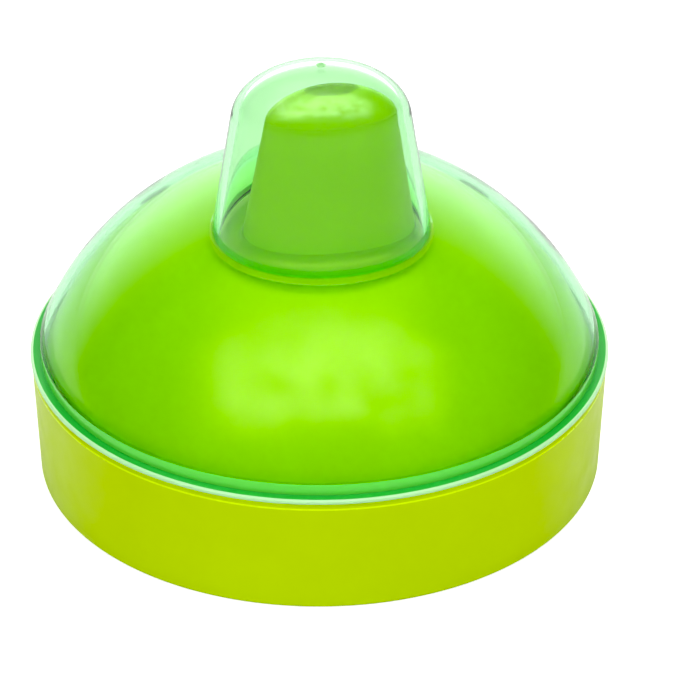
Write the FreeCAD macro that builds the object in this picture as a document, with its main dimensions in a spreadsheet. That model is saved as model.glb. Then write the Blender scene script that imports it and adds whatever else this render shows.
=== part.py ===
import FreeCAD, Part
import math
import os
import Sketcher

# Spout lid of a wide-mouthed drinking bottle for small children, in millimetres.
# A threaded collar holds a domed lid with an oval drinking spout, and a clear
# travel cover with a hood over the spout stands on the collar.
# The origin is the centre of the collar's bottom edge, +Z is up, and the spout
# is on the -Y side.

SIZES = {
    # threaded collar
    "collar_height": 18.3,
    "collar_foot_radius": 41.7,
    "collar_top_radius": 42.7,
    "collar_entry_radius": 40.4,
    "collar_entry_height": 4.6,
    "thread_root_radius": 39.9,
    "flange_chamber_foot": 13.5,
    "collar_foot_round": 0.8,
    "collar_top_round": 0.8,
    "lip_thickness": 1.6,
    "lip_radius": 39.3,
    "lug_crest_radius": 39.0,
    "lug_foot": 6.0,
    "lug_root_height": 2.4,
    "lug_crest_height": 1.2,
    "lug_rise": 3.6,
    "lug_bury": 0.3,
    "thread_lead": 16.0,
    # shared centre of the two spherical shells
    "shell_centre": 3.43,
    # domed lid
    "dome_radius": 43.25,
    "dome_wall": 1.8,
    "dome_edge": 18.6,
    "dome_edge_radius": 39.9,
    "neck_radius": 39.0,
    "flange_radius": 40.1,
    "flange_top": 16.4,
    "flange_thickness": 1.5,
    "plug_radius": 36.0,
    "plug_inner_radius": 34.7,
    "plug_foot": 11.6,
    "dome_foot_inner_radius": 37.2,
    "dome_foot_inner_height": 19.0,
    # drinking spout
    "spout_base": 45.0,
    "spout_base_half_width": 12.6,
    "spout_base_half_depth": 7.6,
    "spout_base_offset": 9.0,
    "spout_crease": 64.5,
    "spout_crease_half_width": 9.45,
    "spout_crease_half_depth": 4.4,
    "spout_crease_offset": 10.65,
    "spout_foot_blend": 1.8,
    "crown_height": 4.5,
    "crown_recess_half_width": 3.8,
    "crown_recess_half_depth": 1.85,
    "crown_recess_floor": 67.5,
    "drinking_hole_radius": 0.6,
    "drinking_hole_spacing": 2.2,
    "channel_top": 62.3,
    "channel_base_half_width": 10.6,
    "channel_base_half_depth": 6.0,
    "channel_top_half_width": 7.6,
    "channel_top_half_depth": 2.8,
    # travel cover
    "cover_radius": 45.0,
    "cover_wall": 1.2,
    "cover_foot_radius": 40.4,
    "cover_band_radius": 41.45,
    "bead_radius": 42.9,
    "bead_height": 1.1,
    "bead_round": 0.35,
    "hood_offset": 9.2,
    "hood_base": 37.5,
    "hood_base_half_width": 17.1,
    "hood_base_half_depth": 13.55,
    "hood_shoulder": 63.75,
    "hood_shoulder_half_width": 13.1,
    "hood_shoulder_half_depth": 9.1,
    "hood_top": 71.9,
    "hood_foot_blend": 0.9,
    "breathing_hole_radius": 2.6,
    # valve in the socket below the spout
    "valve_offset": 9.2,
    "socket_radius": 11.6,
    "socket_wall": 1.4,
    "socket_foot": 30.95,
    "socket_top": 39.6,
    "carrier_base": 29.4,
    "carrier_flange_radius": 13.0,
    "carrier_flange_thickness": 1.5,
    "carrier_radius": 11.5,
    "carrier_length": 9.8,
    "carrier_hole_radius": 6.8,
    "carrier_pocket_radius": 9.0,
    "carrier_ledge": 3.0,
    "carrier_lead_in": 0.5,
    "ring_groove_radius": 10.2,
    "ring_groove_foot": 6.0,
    "ring_groove_height": 1.6,
    "ring_section_radius": 0.68,
    "tab_width": 17.0,
    "tab_thickness": 2.0,
    "tab_drop": 8.5,
    "tab_rise": 0.8,
    "tab_round": 3.0,
    "silicone_rim_height": 1.5,
    "silicone_rim_radius": 8.95,
    "membrane_radius": 6.4,
    "membrane_foot_radius": 6.6,
    "membrane_bow": 1.8,
    "membrane_thickness": 0.8,
    "slit_length": 7.0,
    "slit_gap": 0.15,
    "retainer_inner_radius": 6.9,
    "retainer_height": 2.5,
    "retainer_chamfer": 0.4,
    # air inlet behind the spout, measured from the shells' centre
    "vent_seat": 39.6,
    "vent_floor": 41.6,
    "vent_boss_radius": 6.5,
    "vent_recess_radius": 3.6,
    "vent_stem_hole_radius": 1.3,
    "vent_air_hole_radius": 0.7,
    "vent_air_hole_ring": 2.5,
    "vent_stem_radius": 1.25,
    "vent_barb_radius": 1.75,
    "vent_barb_height": 0.45,
    "vent_tip_height": 0.95,
    "vent_umbrella_radius": 4.6,
    "vent_umbrella_hub": 1.5,
    "vent_umbrella_depth": 1.2,
    "vent_umbrella_edge": 0.6,
    "vent_umbrella_lip": 0.4,
    "vent_umbrella_hollow": 0.3,
    "vent_play": 0.05,
    "vent_lip_gap": 0.02,
    # flat seal on the bottle's rim
    "seal_inner_radius": 36.05,
    "seal_outer_radius": 39.4,
    "seal_thickness": 1.5,
}
LUG_COUNT = 4
VENT_AIR_HOLES = 4
VENT_TILT = 18.9  # degrees from +Z to +Y
SPOUT_TURN = 9.5  # degrees about +Z from the -Y side
HOOD_TURN = 2.0
WALL_RUN_ON = 0.33  # share of the spout wall's height that it runs on below the dome's surface
BREATHING_HOLE_TILT = 45.4  # degrees from +Z
BREATHING_HOLE_BEARINGS = (39.2, 140.8)  # degrees from +X towards +Y
OVERLAP = 1.0  # how far a cutting form runs past the surface that it cuts
NEAR = 0.01  # how close counts as the same place when edges are picked

os.makedirs("parts", exist_ok=True)
doc = FreeCAD.newDocument("spout_lid")


class Length:
    """A length together with the sheet formula that gives it."""

    def __init__(self, value, formula=None):
        self.value = float(value)
        self.formula = formula or repr(self.value)

    def combined(self, other, value, sign):
        return Length(value, f"({self.formula} {sign} {other.formula})")

    def __add__(self, other):
        other = as_length(other)
        return self.combined(other, self.value + other.value, "+")

    def __sub__(self, other):
        other = as_length(other)
        return self.combined(other, self.value - other.value, "-")

    def __mul__(self, other):
        other = as_length(other)
        return self.combined(other, self.value * other.value, "*")

    def __neg__(self):
        return Length(-self.value, f"(0 - {self.formula})")

    def root(self):
        return Length(math.sqrt(self.value), f"sqrt({self.formula})")


def as_length(number):
    return number if isinstance(number, Length) else Length(number)


def fill_sheet():
    """The driving sizes, one row each, with the name beside the value."""
    sheet = doc.addObject("Spreadsheet::Sheet", "Sizes")
    for row, (name, value) in enumerate(SIZES.items(), start=1):
        sheet.set(f"A{row}", name)
        sheet.set(f"B{row}", str(value))
        sheet.setAlias(f"B{row}", name)
    doc.recompute()


fill_sheet()
size = {name: Length(value, f"Sizes.{name}") for name, value in SIZES.items()}


def bind(item, name, length):
    item.setExpression(name, as_length(length).formula)


def origin_plane(body, role):
    return next(plane for plane in body.Origin.OriginFeatures if plane.Role == role)


def pin_point(sketch, edge, end, x, y):
    """Hold one end of an edge at a place given by the sheet."""
    for kind, distance in (("DistanceX", x), ("DistanceY", y)):
        distance = as_length(distance)
        constraint = Sketcher.Constraint(kind, -1, 1, edge, end, distance.value)
        index = sketch.addConstraint(constraint)
        sketch.setExpression(f"Constraints[{index}]", distance.formula)


def arc_about_axis(start, end):
    """An arc between two points, centred on the sketch's vertical axis, and the order of its ends."""
    centre_y = (end.x**2 + end.y**2 - start.x**2 - start.y**2) / (2 * (end.y - start.y))
    centre = FreeCAD.Vector(0, centre_y, 0)
    angles = [math.atan2(p.y - centre_y, p.x) for p in (start, end)]
    circle = Part.Circle(centre, FreeCAD.Vector(0, 0, 1), (start - centre).Length)
    ends = (1, 2) if angles[0] < angles[1] else (2, 1)
    return Part.ArcOfCircle(circle, min(angles), max(angles)), ends


def outline_sketch(body, name, corners):
    """A closed outline on the XZ plane.

    A corner is (radius, height), with "arc" added where an arc centred on the axis leaves it.
    """
    sketch = body.newObject("Sketcher::SketchObject", name)
    sketch.AttachmentSupport = [(origin_plane(body, "XZ_Plane"), "")]
    sketch.MapMode = "FlatFace"
    points = [FreeCAD.Vector(as_length(c[0]).value, as_length(c[1]).value, 0) for c in corners]
    ends = []
    for index, corner in enumerate(corners):
        start, end = points[index], points[(index + 1) % len(points)]
        if corner[-1] == "arc":
            edge, order = arc_about_axis(start, end)
        else:
            edge, order = Part.LineSegment(start, end), (1, 2)
        sketch.addGeometry(edge, False)
        ends.append(order)
    for index, corner in enumerate(corners):
        following = (index + 1) % len(corners)
        joined = Sketcher.Constraint("Coincident", index, ends[index][1], following, ends[following][0])
        sketch.addConstraint(joined)
        if corner[-1] == "arc":
            sketch.addConstraint(Sketcher.Constraint("PointOnObject", index, 3, -2))
    for index, corner in enumerate(corners):
        pin_point(sketch, index, ends[index][0], corner[0], corner[1])
    return sketch


def turned_body(name, corners):
    """A body made by turning an outline about its vertical axis."""
    body = doc.addObject("PartDesign::Body", name)
    sketch = outline_sketch(body, f"{name}_outline", corners)
    turning = body.newObject("PartDesign::Revolution", f"{name}_turning")
    turning.Profile = sketch
    turning.ReferenceAxis = (sketch, ["V_Axis"])
    turning.Angle = 360
    doc.recompute()
    return body


def round_edges(body, name, radius, wanted):
    """Fillet the edges of a body's tip that the test picks."""
    tip = body.Tip
    edges = [f"Edge{i}" for i, edge in enumerate(tip.Shape.Edges, start=1) if wanted(edge)]
    fillet = body.newObject("PartDesign::Fillet", name)
    fillet.Base = (tip, edges)
    bind(fillet, "Radius", radius)
    doc.recompute()


def is_ring_at(radius, height):
    """A test for a level round edge about the axis."""

    def test(edge):
        box = edge.BoundBox
        level = abs(box.ZMax - height.value) < NEAR and abs(box.ZMin - height.value) < NEAR
        return level and abs(box.XMax - radius.value) < NEAR * 5

    return test


def blended(name, base, radius, wanted):
    """A part with the edges that the test picks rounded off or filled in."""
    doc.recompute()
    edges = [i for i, edge in enumerate(base.Shape.Edges, start=1) if wanted(edge)]
    fillet = doc.addObject("Part::Fillet", name)
    fillet.Base = base
    fillet.Edges = [(i, radius.value, radius.value) for i in edges]
    return fillet


def is_oval_on_shell(radius):
    """A test for the edge where an oval form rises out of a spherical shell."""

    def test(edge):
        box = edge.BoundBox
        if box.YLength < OVERLAP or box.ZLength < NEAR * 20:
            return False
        centre = FreeCAD.Vector(0, 0, size["shell_centre"].value)
        return all(abs((p - centre).Length - radius.value) < NEAR for p in edge.discretize(5))

    return test


def is_lower_corner(edge):
    """A test for the two lower edges that run through the finger tab's thickness."""
    foot = size["carrier_base"] - size["tab_drop"]
    return edge.BoundBox.YLength > OVERLAP and edge.BoundBox.ZMax < foot.value + NEAR


def cylinder(name, radius, foot, top, offset_y=0.0):
    item = doc.addObject("Part::Cylinder", name)
    bind(item, "Radius", radius)
    bind(item, "Height", as_length(top) - foot)
    bind(item, "Placement.Base.y", offset_y)
    bind(item, "Placement.Base.z", foot)
    return item


def joined(name, items):
    fuse = doc.addObject("Part::MultiFuse", name)
    fuse.Shapes = items
    return fuse


def without(name, base, tool):
    cut = doc.addObject("Part::Cut", name)
    cut.Base = base
    cut.Tool = tool
    return cut


def oval_loft(name, lower, upper):
    """A tapered solid between two level ellipses.

    Each is (height, half width, half depth, distance from the axis towards -Y).
    """
    rings = []
    for number, (height, half_width, half_depth, offset) in enumerate((lower, upper)):
        ring = doc.addObject("Part::Ellipse", f"{name}_ring_{number}")
        bind(ring, "MajorRadius", half_width)
        bind(ring, "MinorRadius", half_depth)
        bind(ring, "Placement.Base.y", -offset)
        bind(ring, "Placement.Base.z", height)
        rings.append(ring)
    loft = doc.addObject("Part::Loft", name)
    loft.Sections = rings
    loft.Solid = True
    loft.Ruled = True
    return loft


def oval_cap(name, foot, top, half_width, half_depth, offset):
    """The upper half of an ellipsoid."""
    cap = doc.addObject("Part::Ellipsoid", name)
    bind(cap, "Radius1", top - foot)
    bind(cap, "Radius2", half_width)
    bind(cap, "Radius3", half_depth)
    bind(cap, "Placement.Base.y", -offset)
    bind(cap, "Placement.Base.z", foot)
    cap.Angle1 = 0
    return cap


def height_at(radius, reach):
    """How high a shell of the given radius is at a distance from the axis."""
    return size["shell_centre"] + (radius * radius - reach * reach).root()


def turned_about_axis(degrees):
    return FreeCAD.Placement(FreeCAD.Vector(), FreeCAD.Rotation(FreeCAD.Vector(0, 0, 1), degrees))


def make_screw_collar():
    """The ring that screws on the bottle, with a lip over the lid's flange and four thread lugs."""
    foot, top = size["collar_foot_radius"], size["collar_top_radius"]
    entry, thread_root, lip = size["collar_entry_radius"], size["thread_root_radius"], size["lip_radius"]
    under_lip = size["collar_height"] - size["lip_thickness"]
    step = entry - thread_root
    corners = [
        (entry, 0),
        (foot, 0),
        (top, size["collar_height"]),
        (lip, size["collar_height"]),
        (lip, under_lip),
        (entry, under_lip),
        (entry, size["flange_chamber_foot"] + step),
        (thread_root, size["flange_chamber_foot"]),
        (thread_root, size["collar_entry_height"] + step),
        (entry, size["collar_entry_height"]),
    ]
    body = turned_body("screw_collar", corners)
    floor_ring = is_ring_at(foot, Length(0))
    top_ring = is_ring_at(top, size["collar_height"])
    round_edges(body, "foot_rounding", size["collar_foot_round"], floor_ring)
    round_edges(body, "top_rounding", size["collar_top_round"], top_ring)

    root = thread_root + size["lug_bury"]
    start = size["lug_foot"]
    spread = (size["lug_root_height"] - size["lug_crest_height"]) * 0.5
    crest = size["lug_crest_radius"]
    lug_outline = [
        (crest, start + spread),
        (root, start),
        (root, start + size["lug_root_height"]),
        (crest, start + spread + size["lug_crest_height"]),
    ]
    sketch = outline_sketch(body, "lug_outline", lug_outline)
    lug = body.newObject("PartDesign::AdditiveHelix", "lug")
    lug.Profile = sketch
    lug.ReferenceAxis = (sketch, ["V_Axis"])
    lug.Mode = "pitch-height-angle"
    bind(lug, "Pitch", size["thread_lead"])
    bind(lug, "Height", size["lug_rise"])
    doc.recompute()
    lugs = body.newObject("PartDesign::PolarPattern", "lugs")
    lugs.Originals = [lug]
    lugs.Axis = (sketch, ["V_Axis"])
    lugs.Angle = 360
    lugs.Occurrences = LUG_COUNT
    body.Tip = lugs
    doc.recompute()
    return body


def make_spout_dome():
    """The domed lid: a spherical shell that clips under the collar's lip.

    It carries the spout, the socket for the valve and the air inlet.
    """
    flange_foot = size["flange_top"] - size["flange_thickness"]
    inner = size["dome_radius"] - size["dome_wall"]
    cavity_radius = size["dome_foot_inner_radius"]
    outer_form = turned_body(
        "dome_outer_form",
        [
            (0, size["plug_foot"]),
            (size["plug_radius"], size["plug_foot"]),
            (size["plug_radius"], flange_foot),
            (size["flange_radius"], flange_foot),
            (size["flange_radius"], size["flange_top"]),
            (size["neck_radius"], size["flange_top"]),
            (size["neck_radius"], size["dome_edge"]),
            (size["dome_edge_radius"], size["dome_edge"]),
            (size["dome_edge_radius"], height_at(size["dome_radius"], size["dome_edge_radius"]), "arc"),
            (0, size["shell_centre"] + size["dome_radius"]),
        ],
    )
    below = size["plug_foot"] - OVERLAP
    inner_form = turned_body(
        "dome_inner_form",
        [
            (0, below),
            (size["plug_inner_radius"], below),
            (size["plug_inner_radius"], flange_foot),
            (cavity_radius, size["dome_foot_inner_height"]),
            (cavity_radius, height_at(inner, cavity_radius), "arc"),
            (0, size["shell_centre"] + inner),
        ],
    )
    with_spout = joined("dome_with_spout", [outer_form] + make_spout_solids())
    spout_foot = is_oval_on_shell(size["dome_radius"])
    filled = blended("filled_dome", with_spout, size["spout_foot_blend"], spout_foot)

    socket_post = cylinder(
        "socket_post",
        size["socket_radius"] + size["socket_wall"],
        size["socket_foot"],
        size["shell_centre"] + size["dome_radius"],
        -size["valve_offset"],
    )
    vent_boss = vent_cylinder("vent_boss", "vent_boss_radius", size["vent_seat"], size["dome_radius"])
    kept_inside = joined("kept_inside", [socket_post, vent_boss])
    cavity = without("dome_cavity", inner_form, kept_inside)
    openings = joined("dome_openings", [cavity] + make_spout_openings() + make_vent_openings())
    lid = without("spout_dome", filled, openings)
    lid.Placement = turned_about_axis(SPOUT_TURN)
    return lid


def make_spout_solids():
    """The spout's tapered oval wall, and the rounded crown above its crease."""
    base_height, crease_height = size["spout_base"], size["spout_crease"]
    half_width, half_depth = size["spout_crease_half_width"], size["spout_crease_half_depth"]
    offset = size["spout_crease_offset"]

    def continued(base, crease):
        return size[base] + (size[base] - size[crease]) * WALL_RUN_ON

    root = (
        continued("spout_base", "spout_crease"),
        continued("spout_base_half_width", "spout_crease_half_width"),
        continued("spout_base_half_depth", "spout_crease_half_depth"),
        continued("spout_base_offset", "spout_crease_offset"),
    )
    wall = oval_loft("spout_wall", root, (crease_height, half_width, half_depth, offset))
    top = crease_height + size["crown_height"]
    crown = oval_cap("spout_crown", crease_height, top, half_width, half_depth, offset)
    return [wall, crown]


def make_spout_openings():
    """The spout's channel, the bore for the valve, and the crown's recess and drinking holes."""
    offset = size["spout_crease_offset"]
    channel_foot = size["socket_top"] - OVERLAP * 0.5
    base_oval = (size["channel_base_half_width"], size["channel_base_half_depth"], size["valve_offset"])
    top_oval = (size["channel_top_half_width"], size["channel_top_half_depth"], offset)
    channel = oval_loft("spout_channel", (channel_foot, *base_oval), (size["channel_top"], *top_oval))
    above = size["spout_crease"] + size["crown_height"] + OVERLAP
    bore_foot = size["socket_foot"] - OVERLAP
    bore_top, bore_offset = size["socket_top"], -size["valve_offset"]
    socket = cylinder("socket_bore", size["socket_radius"], bore_foot, bore_top, bore_offset)
    recess_oval = (size["crown_recess_half_width"], size["crown_recess_half_depth"], offset)
    recess = oval_loft("crown_recess", (size["crown_recess_floor"], *recess_oval), (above, *recess_oval))
    holes = []
    for place in (-1, 0, 1):
        hole_foot = size["channel_top"] - OVERLAP
        name = f"drinking_hole_{place + 2}"
        hole = cylinder(name, size["drinking_hole_radius"], hole_foot, above, -offset)
        bind(hole, "Placement.Base.x", size["drinking_hole_spacing"] * place)
        holes.append(hole)
    return [channel, socket, recess] + holes


def tilted(degrees, bearing=90.0):
    """A placement at the shells' centre whose +Z leans by degrees towards a bearing from +X."""
    lean = FreeCAD.Rotation(FreeCAD.Vector(0, 1, 0), degrees)
    swing = FreeCAD.Rotation(FreeCAD.Vector(0, 0, 1), bearing)
    return FreeCAD.Placement(FreeCAD.Vector(0, 0, size["shell_centre"].value), swing * lean)


def vent_cylinder(name, radius, foot, top, ring=0.0, turn=0.0):
    """A cylinder along the air inlet's axis, or beside it at a ring radius and turn."""
    item = doc.addObject("Part::Cylinder", name)
    bind(item, "Radius", size[radius])
    bind(item, "Height", as_length(top) - foot)
    angle = math.radians(turn)
    beside = FreeCAD.Vector(ring * math.cos(angle), ring * math.sin(angle), as_length(foot).value)
    item.Placement = tilted(VENT_TILT) * FreeCAD.Placement(beside, FreeCAD.Rotation())
    return item


def make_vent_openings():
    """The air inlet's recess in the dome, the hole for the valve's stem and the air holes."""
    foot, floor = size["vent_seat"] - OVERLAP, size["vent_floor"]
    above = floor + OVERLAP
    recess = vent_cylinder("vent_recess", "vent_recess_radius", floor, size["dome_radius"] + OVERLAP)
    stem = vent_cylinder("vent_stem_hole", "vent_stem_hole_radius", foot, above)
    items = [recess, stem]
    for number in range(VENT_AIR_HOLES):
        turn = 360 / VENT_AIR_HOLES * number
        ring = size["vent_air_hole_ring"].value
        name = f"vent_air_hole_{number + 1}"
        items.append(vent_cylinder(name, "vent_air_hole_radius", foot, above, ring, turn))
    return items


def make_travel_cover():
    """The clear cover: a spherical shell with a bead, a hood over the spout and breathing holes."""
    foot = size["collar_height"]
    bead_top = foot + size["bead_height"]
    outer, inner = size["cover_radius"], size["cover_radius"] - size["cover_wall"]
    outer_form = turned_body(
        "cover_outer_form",
        [
            (0, foot),
            (size["bead_radius"], foot),
            (size["bead_radius"], bead_top),
            (size["cover_band_radius"], bead_top),
            (size["cover_band_radius"], height_at(outer, size["cover_band_radius"]), "arc"),
            (0, size["shell_centre"] + outer),
        ],
    )
    bead_ring = is_ring_at(size["bead_radius"], bead_top)
    round_edges(outer_form, "bead_rounding", size["bead_round"], bead_ring)
    inner_form = turned_body(
        "cover_inner_form",
        [
            (0, foot - OVERLAP),
            (size["cover_foot_radius"], foot - OVERLAP),
            (size["cover_foot_radius"], height_at(inner, size["cover_foot_radius"]), "arc"),
            (0, size["shell_centre"] + inner),
        ],
    )
    with_hood = joined("cover_with_hood", [outer_form] + make_hood_solids("hood_outside", Length(0)))
    hood_foot = is_oval_on_shell(outer)
    filled = blended("filled_cover", with_hood, size["hood_foot_blend"], hood_foot)
    openings = [inner_form] + make_hood_solids("hood_inside", size["cover_wall"])
    for number, bearing in enumerate(BREATHING_HOLE_BEARINGS, start=1):
        hole = doc.addObject("Part::Cylinder", f"breathing_hole_{number}")
        bind(hole, "Radius", size["breathing_hole_radius"])
        bind(hole, "Height", size["cover_wall"] + OVERLAP * 4)
        start = FreeCAD.Placement(FreeCAD.Vector(0, 0, inner.value - OVERLAP * 2), FreeCAD.Rotation())
        hole.Placement = tilted(BREATHING_HOLE_TILT, bearing) * start
        openings.append(hole)
    cover = without("travel_cover", filled, joined("cover_openings", openings))
    cover.Placement = turned_about_axis(HOOD_TURN)
    return cover


def make_hood_solids(name, inset):
    """The hood's tapered wall and rounded cap as filled forms, smaller all round by the inset."""
    shoulder = size["hood_shoulder"]
    offset = size["hood_offset"]
    base_oval = (size["hood_base_half_width"] - inset, size["hood_base_half_depth"] - inset, offset)
    top_oval = (size["hood_shoulder_half_width"] - inset, size["hood_shoulder_half_depth"] - inset, offset)
    wall = oval_loft(f"{name}_wall", (size["hood_base"], *base_oval), (shoulder, *top_oval))
    cap = oval_cap(f"{name}_cap", shoulder, size["hood_top"] - inset, *top_oval)
    return [wall, cap]


def below_spout(item):
    """Put a sub-part that is drawn about +Z on the valve socket's axis."""
    shift = FreeCAD.Placement(FreeCAD.Vector(0, -size["valve_offset"].value, 0), FreeCAD.Rotation())
    item.Placement = turned_about_axis(SPOUT_TURN) * shift
    return item


def make_valve_carrier():
    """The cup that plugs into the socket, with a seal groove, a valve pocket and a finger tab."""
    base = size["carrier_base"]
    outside, pocket = size["carrier_radius"], size["carrier_pocket_radius"]
    flange_top = base + size["carrier_flange_thickness"]
    top = base + size["carrier_length"]
    groove_foot = base + size["ring_groove_foot"]
    groove_top = groove_foot + size["ring_groove_height"]
    ledge = base + size["carrier_ledge"]
    cup = turned_body(
        "carrier_cup",
        [
            (size["carrier_hole_radius"], base),
            (size["carrier_flange_radius"], base),
            (size["carrier_flange_radius"], flange_top),
            (outside, flange_top),
            (outside, groove_foot),
            (size["ring_groove_radius"], groove_foot),
            (size["ring_groove_radius"], groove_top),
            (outside, groove_top),
            (outside, top - size["carrier_lead_in"]),
            (outside - size["carrier_lead_in"], top),
            (pocket, top),
            (pocket, ledge),
            (size["carrier_hole_radius"], ledge),
        ],
    )
    tab = doc.addObject("Part::Box", "carrier_tab")
    bind(tab, "Length", size["tab_width"])
    bind(tab, "Width", size["tab_thickness"])
    bind(tab, "Height", size["tab_drop"] + size["tab_rise"])
    bind(tab, "Placement.Base.x", size["tab_width"] * -0.5)
    bind(tab, "Placement.Base.y", size["tab_thickness"] * -0.5)
    bind(tab, "Placement.Base.z", base - size["tab_drop"])
    rounded = blended("carrier_tab_rounded", tab, size["tab_round"], is_lower_corner)
    return below_spout(joined("valve_carrier", [cup, rounded]))


def make_slit_valve():
    """The silicone valve: a rim and a membrane that bows towards the bottle, with crossed slits."""
    ledge = size["carrier_base"] + size["carrier_ledge"]
    rim_top = ledge + size["silicone_rim_height"]
    rim_radius = size["silicone_rim_radius"]
    bow, thickness = size["membrane_bow"], size["membrane_thickness"]
    membrane_radius = size["membrane_radius"]
    form = turned_body(
        "slit_valve_form",
        [
            (0, ledge - bow, "arc"),
            (size["membrane_foot_radius"], ledge),
            (rim_radius, ledge),
            (rim_radius, rim_top),
            (membrane_radius, rim_top),
            (membrane_radius, ledge + thickness, "arc"),
            (0, ledge - bow + thickness),
        ],
    )
    slits = []
    for number, turn in enumerate((0, 90), start=1):
        slit = doc.addObject("Part::Box", f"slit_{number}")
        bind(slit, "Length", size["slit_length"])
        bind(slit, "Width", size["slit_gap"])
        bind(slit, "Height", bow + thickness + OVERLAP * 2)
        slit_foot = ledge - bow - OVERLAP
        centring = FreeCAD.Vector(-SIZES["slit_length"] / 2, -SIZES["slit_gap"] / 2, slit_foot.value)
        slit.Placement = turned_about_axis(turn) * FreeCAD.Placement(centring, FreeCAD.Rotation())
        slits.append(slit)
    return below_spout(without("slit_valve", form, joined("valve_slits", slits)))


def make_valve_retainer():
    """The ring that holds the silicone valve down in the carrier's pocket."""
    foot = size["carrier_base"] + size["carrier_ledge"] + size["silicone_rim_height"]
    top = foot + size["retainer_height"]
    inner, outer = size["retainer_inner_radius"], size["silicone_rim_radius"]
    chamfer = size["retainer_chamfer"]
    corners = [(inner, foot), (outer, foot), (outer, top - chamfer), (outer - chamfer, top), (inner, top)]
    return below_spout(turned_body("valve_retainer", corners))


def make_carrier_seal():
    """The sealing ring in the carrier's groove."""
    ring = doc.addObject("Part::Torus", "carrier_seal")
    bind(ring, "Radius1", size["ring_groove_radius"] + size["ring_section_radius"])
    bind(ring, "Radius2", size["ring_section_radius"])
    groove_middle = size["carrier_base"] + size["ring_groove_foot"] + size["ring_groove_height"] * 0.5
    lift = FreeCAD.Placement(FreeCAD.Vector(0, 0, groove_middle.value), FreeCAD.Rotation())
    below_spout(ring)
    ring.Placement = ring.Placement * lift
    return ring


def make_bottle_seal_ring():
    """The flat silicone ring under the lid's flange, which seals on the bottle's rim."""
    top = size["flange_top"] - size["flange_thickness"]
    foot = top - size["seal_thickness"]
    inner, outer = size["seal_inner_radius"], size["seal_outer_radius"]
    return turned_body("bottle_seal_ring", [(inner, foot), (outer, foot), (outer, top), (inner, top)])


def make_vent_valve():
    """The silicone umbrella that lets air in: a stem, a barb above the seat and a disc below."""
    seat, floor = size["vent_seat"], size["vent_floor"]
    stem, barb, disc = size["vent_stem_radius"], size["vent_barb_radius"], size["vent_umbrella_radius"]
    lip, hollow = size["vent_umbrella_lip"], size["vent_umbrella_hollow"]
    under_seat = seat - size["vent_lip_gap"]
    catch = floor + size["vent_play"]
    tip = catch + size["vent_tip_height"]
    body = turned_body(
        "vent_valve",
        [
            (0, seat - size["vent_umbrella_depth"]),
            (size["vent_umbrella_hub"], seat - size["vent_umbrella_depth"]),
            (disc, seat - size["vent_umbrella_edge"]),
            (disc, under_seat),
            (disc - lip, under_seat),
            (disc - lip, seat - hollow),
            (stem, seat - hollow),
            (stem, catch),
            (barb, catch),
            (barb, catch + size["vent_barb_height"]),
            (stem, tip),
            (0, tip),
        ],
    )
    body.Placement = turned_about_axis(SPOUT_TURN) * tilted(VENT_TILT)
    return body


sub_parts = {
    "screw_collar": make_screw_collar(),
    "spout_dome": make_spout_dome(),
    "travel_cover": make_travel_cover(),
    "bottle_seal_ring": make_bottle_seal_ring(),
    "valve_carrier": make_valve_carrier(),
    "slit_valve": make_slit_valve(),
    "valve_retainer": make_valve_retainer(),
    "carrier_seal": make_carrier_seal(),
    "vent_valve": make_vent_valve(),
}
doc.recompute()

failed = [item.Name for item in doc.Objects if {"Invalid", "Error"} & set(item.State)]
if failed:
    raise RuntimeError(f"these objects failed: {failed}")
for node, item in sub_parts.items():
    item.Label = node
    if item.Shape.isNull() or not item.Shape.isValid():
        raise RuntimeError(f"{node} has no valid shape")
    item.Shape.exportStep(f"parts/{node}.step")
    box = item.Shape.BoundBox
    corners = (box.XMin, box.YMin, box.ZMin, box.XMax, box.YMax, box.ZMax)
    print(node, len(item.Shape.Solids), round(item.Shape.Volume, 1), [round(v, 2) for v in corners])
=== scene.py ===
import math

import bpy
import numpy as np
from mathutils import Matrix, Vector


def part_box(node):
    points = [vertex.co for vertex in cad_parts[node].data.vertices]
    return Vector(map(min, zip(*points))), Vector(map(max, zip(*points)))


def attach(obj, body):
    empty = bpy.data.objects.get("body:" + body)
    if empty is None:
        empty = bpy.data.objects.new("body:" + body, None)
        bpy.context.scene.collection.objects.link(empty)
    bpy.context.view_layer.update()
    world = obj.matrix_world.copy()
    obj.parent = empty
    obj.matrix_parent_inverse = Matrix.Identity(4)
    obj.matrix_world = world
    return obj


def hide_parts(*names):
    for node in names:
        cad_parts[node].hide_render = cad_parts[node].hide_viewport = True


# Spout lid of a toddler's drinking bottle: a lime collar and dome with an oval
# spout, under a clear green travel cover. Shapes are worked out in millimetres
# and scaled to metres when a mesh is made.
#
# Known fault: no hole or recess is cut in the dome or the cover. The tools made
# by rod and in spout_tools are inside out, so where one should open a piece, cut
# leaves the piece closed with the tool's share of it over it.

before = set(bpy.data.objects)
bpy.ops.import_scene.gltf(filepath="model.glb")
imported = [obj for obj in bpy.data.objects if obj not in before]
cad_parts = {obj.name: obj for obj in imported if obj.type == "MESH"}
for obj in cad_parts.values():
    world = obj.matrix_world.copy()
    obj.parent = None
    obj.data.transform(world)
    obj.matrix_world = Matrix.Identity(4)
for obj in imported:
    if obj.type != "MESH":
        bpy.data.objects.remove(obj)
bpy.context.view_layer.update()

MM = 0.001
AROUND = 288  # points round each ring
SHELL_CENTRE = 3.43  # height of the centre of both spherical shells
SPOUT_TURN = 9.5  # degrees about +Z
HOOD_TURN = 2.0


def top_of(node):
    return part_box(node)[1].z / MM


COLLAR_TOP = top_of("screw_collar")
COVER_TOP = top_of("travel_cover")

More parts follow.
